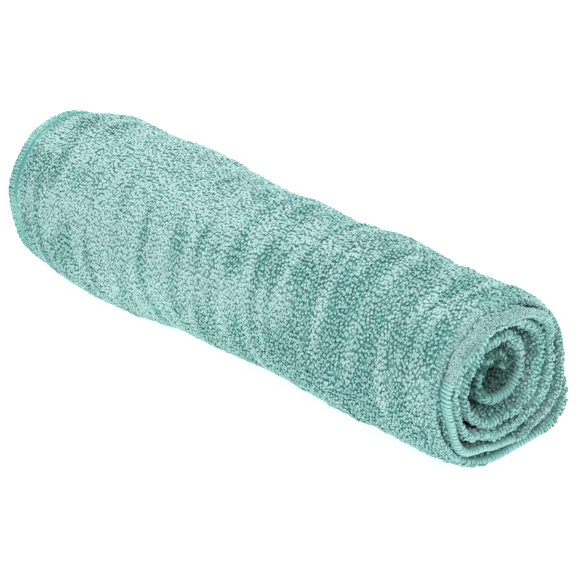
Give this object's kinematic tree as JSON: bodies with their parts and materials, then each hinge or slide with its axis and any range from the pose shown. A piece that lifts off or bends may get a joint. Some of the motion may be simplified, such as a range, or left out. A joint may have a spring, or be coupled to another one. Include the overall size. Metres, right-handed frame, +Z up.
{
  "type": "rolled quick dry towel",
  "caption": "Rolled microfibre terry towel with overlocked edges, lying on its flattened underside, with a loose end that lifts.",
  "frame": {"origin": "middle of the flattened underside, on the surface that the roll lies on", "axes": "+X along the roll towards its near end, +Y towards the side that the loose end rests on, +Z up"},
  "size_m": [0.35, 0.094, 0.0903],
  "materials": {
    "terry_pile": "short looped microfibre pile, matt with a soft sheen",
    "looper_thread": "soft textured polyester overlock thread",
    "needle_thread": "twisted polyester sewing thread"
  },
  "bodies": {
    "roll": {"terry_cloth": "terry_pile", "near_edge_overlock": "looper_thread", "far_edge_overlock": "looper_thread", "inner_end_overlock": "looper_thread", "near_edge_needle_thread": "needle_thread", "far_edge_needle_thread": "needle_thread", "inner_end_needle_thread": "needle_thread"},
    "loose_end": {"loose_end_cloth": "terry_pile", "loose_end_near_overlock": "looper_thread", "loose_end_far_overlock": "looper_thread", "outer_end_overlock": "looper_thread", "loose_end_near_needle_thread": "needle_thread", "loose_end_far_needle_thread": "needle_thread", "outer_end_needle_thread": "needle_thread"}
  },
  "joints": [
    {"name": "loose_end_lift", "type": "hinge", "parent": "roll", "child": "loose_end", "pos_m": [0, 0.02791, 0.00796], "axis": [-1, 0, 0], "range_deg": [0, 50]}
  ]
}
